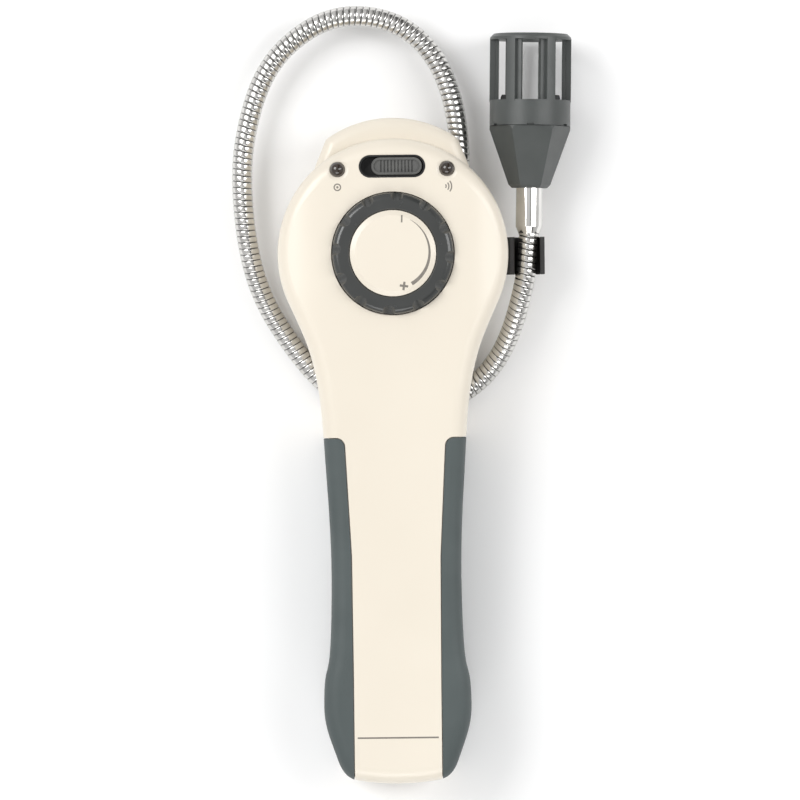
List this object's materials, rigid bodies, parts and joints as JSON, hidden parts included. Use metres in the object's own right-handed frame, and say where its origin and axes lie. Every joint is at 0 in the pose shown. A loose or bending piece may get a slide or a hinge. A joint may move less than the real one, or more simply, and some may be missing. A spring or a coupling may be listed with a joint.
{
  "type": "combustible gas detector",
  "caption": "Hand-held combustible gas detector with a sensitivity dial, slide switch, rubber grips and a caged sensor on a looped metal gooseneck.",
  "frame": {"origin": "where the dial's axis meets the flat back that the detector rests on", "axes": "+Y towards the head end, +Z out of the front face along the dial's axis, +X towards the sensor's side"},
  "size_m": [0.1137, 0.2589, 0.045],
  "materials": {
    "case_plastic": "smooth, light sheen",
    "grip_rubber": "matte",
    "dial_plastic": "glossy",
    "slider_plastic": "satin",
    "bezel_plastic": "matte",
    "lamp_lens": "polished, smoked",
    "hose_chrome": "polished",
    "sensor_plastic": "satin",
    "clip_plastic": "satin",
    "board_laminate": "satin",
    "black_plastic": "matte",
    "steel": "plated",
    "cell_sleeve": "shrink sleeve"
  },
  "bodies": {
    "housing": {"front_case": "case_plastic", "rear_case": "case_plastic", "right_grip": "grip_rubber", "left_grip": "grip_rubber", "sensitivity_pot": "steel", "ready_lamp": "lamp_lens", "alarm_lamp": "lamp_lens", "switch_bezel": "bezel_plastic", "slide_switch": "steel", "circuit_board": "board_laminate", "sounder": "black_plastic", "case_screws": "steel", "gooseneck": "hose_chrome", "gooseneck_nut": "steel", "gooseneck_clip": "clip_plastic", "ferrule": "hose_chrome", "sensor_base": "sensor_plastic", "sensor_seat": "black_plastic", "sensor_element": "steel", "battery_cell_1": "cell_sleeve", "battery_cell_2": "cell_sleeve", "battery_cell_3": "cell_sleeve", "battery_cell_4": "cell_sleeve", "positive_plate": "steel", "negative_plate": "steel", "joining_plate": "steel", "upper_spring": "steel", "lower_spring": "steel"},
    "dial": {"dial_ring": "dial_plastic", "dial_cap": "case_plastic", "dial_hub": "black_plastic", "dial_shaft": "steel"},
    "switch_knob": {"switch_slider": "slider_plastic"},
    "door": {"battery_door": "case_plastic"},
    "cage": {"sensor_guard": "sensor_plastic"}
  },
  "joints": [
    {"name": "dial_turn", "type": "hinge", "parent": "housing", "child": "dial", "pos_m": [0, 0, 0.04], "axis": [0, 0, 1], "range_deg": [-150, 150]},
    {"name": "switch_slide", "type": "slide", "parent": "housing", "child": "switch_knob", "axis": [-1, 0, 0], "range_m": [0, 0.003]},
    {"name": "battery_door_slide", "type": "slide", "parent": "housing", "child": "door", "axis": [0, -1, 0], "range_m": [0, 0.115]},
    {"name": "sensor_guard_pull", "type": "slide", "parent": "housing", "child": "cage", "axis": [0.0201, 0.9998, 0], "range_m": [0, 0.035]}
  ]
}
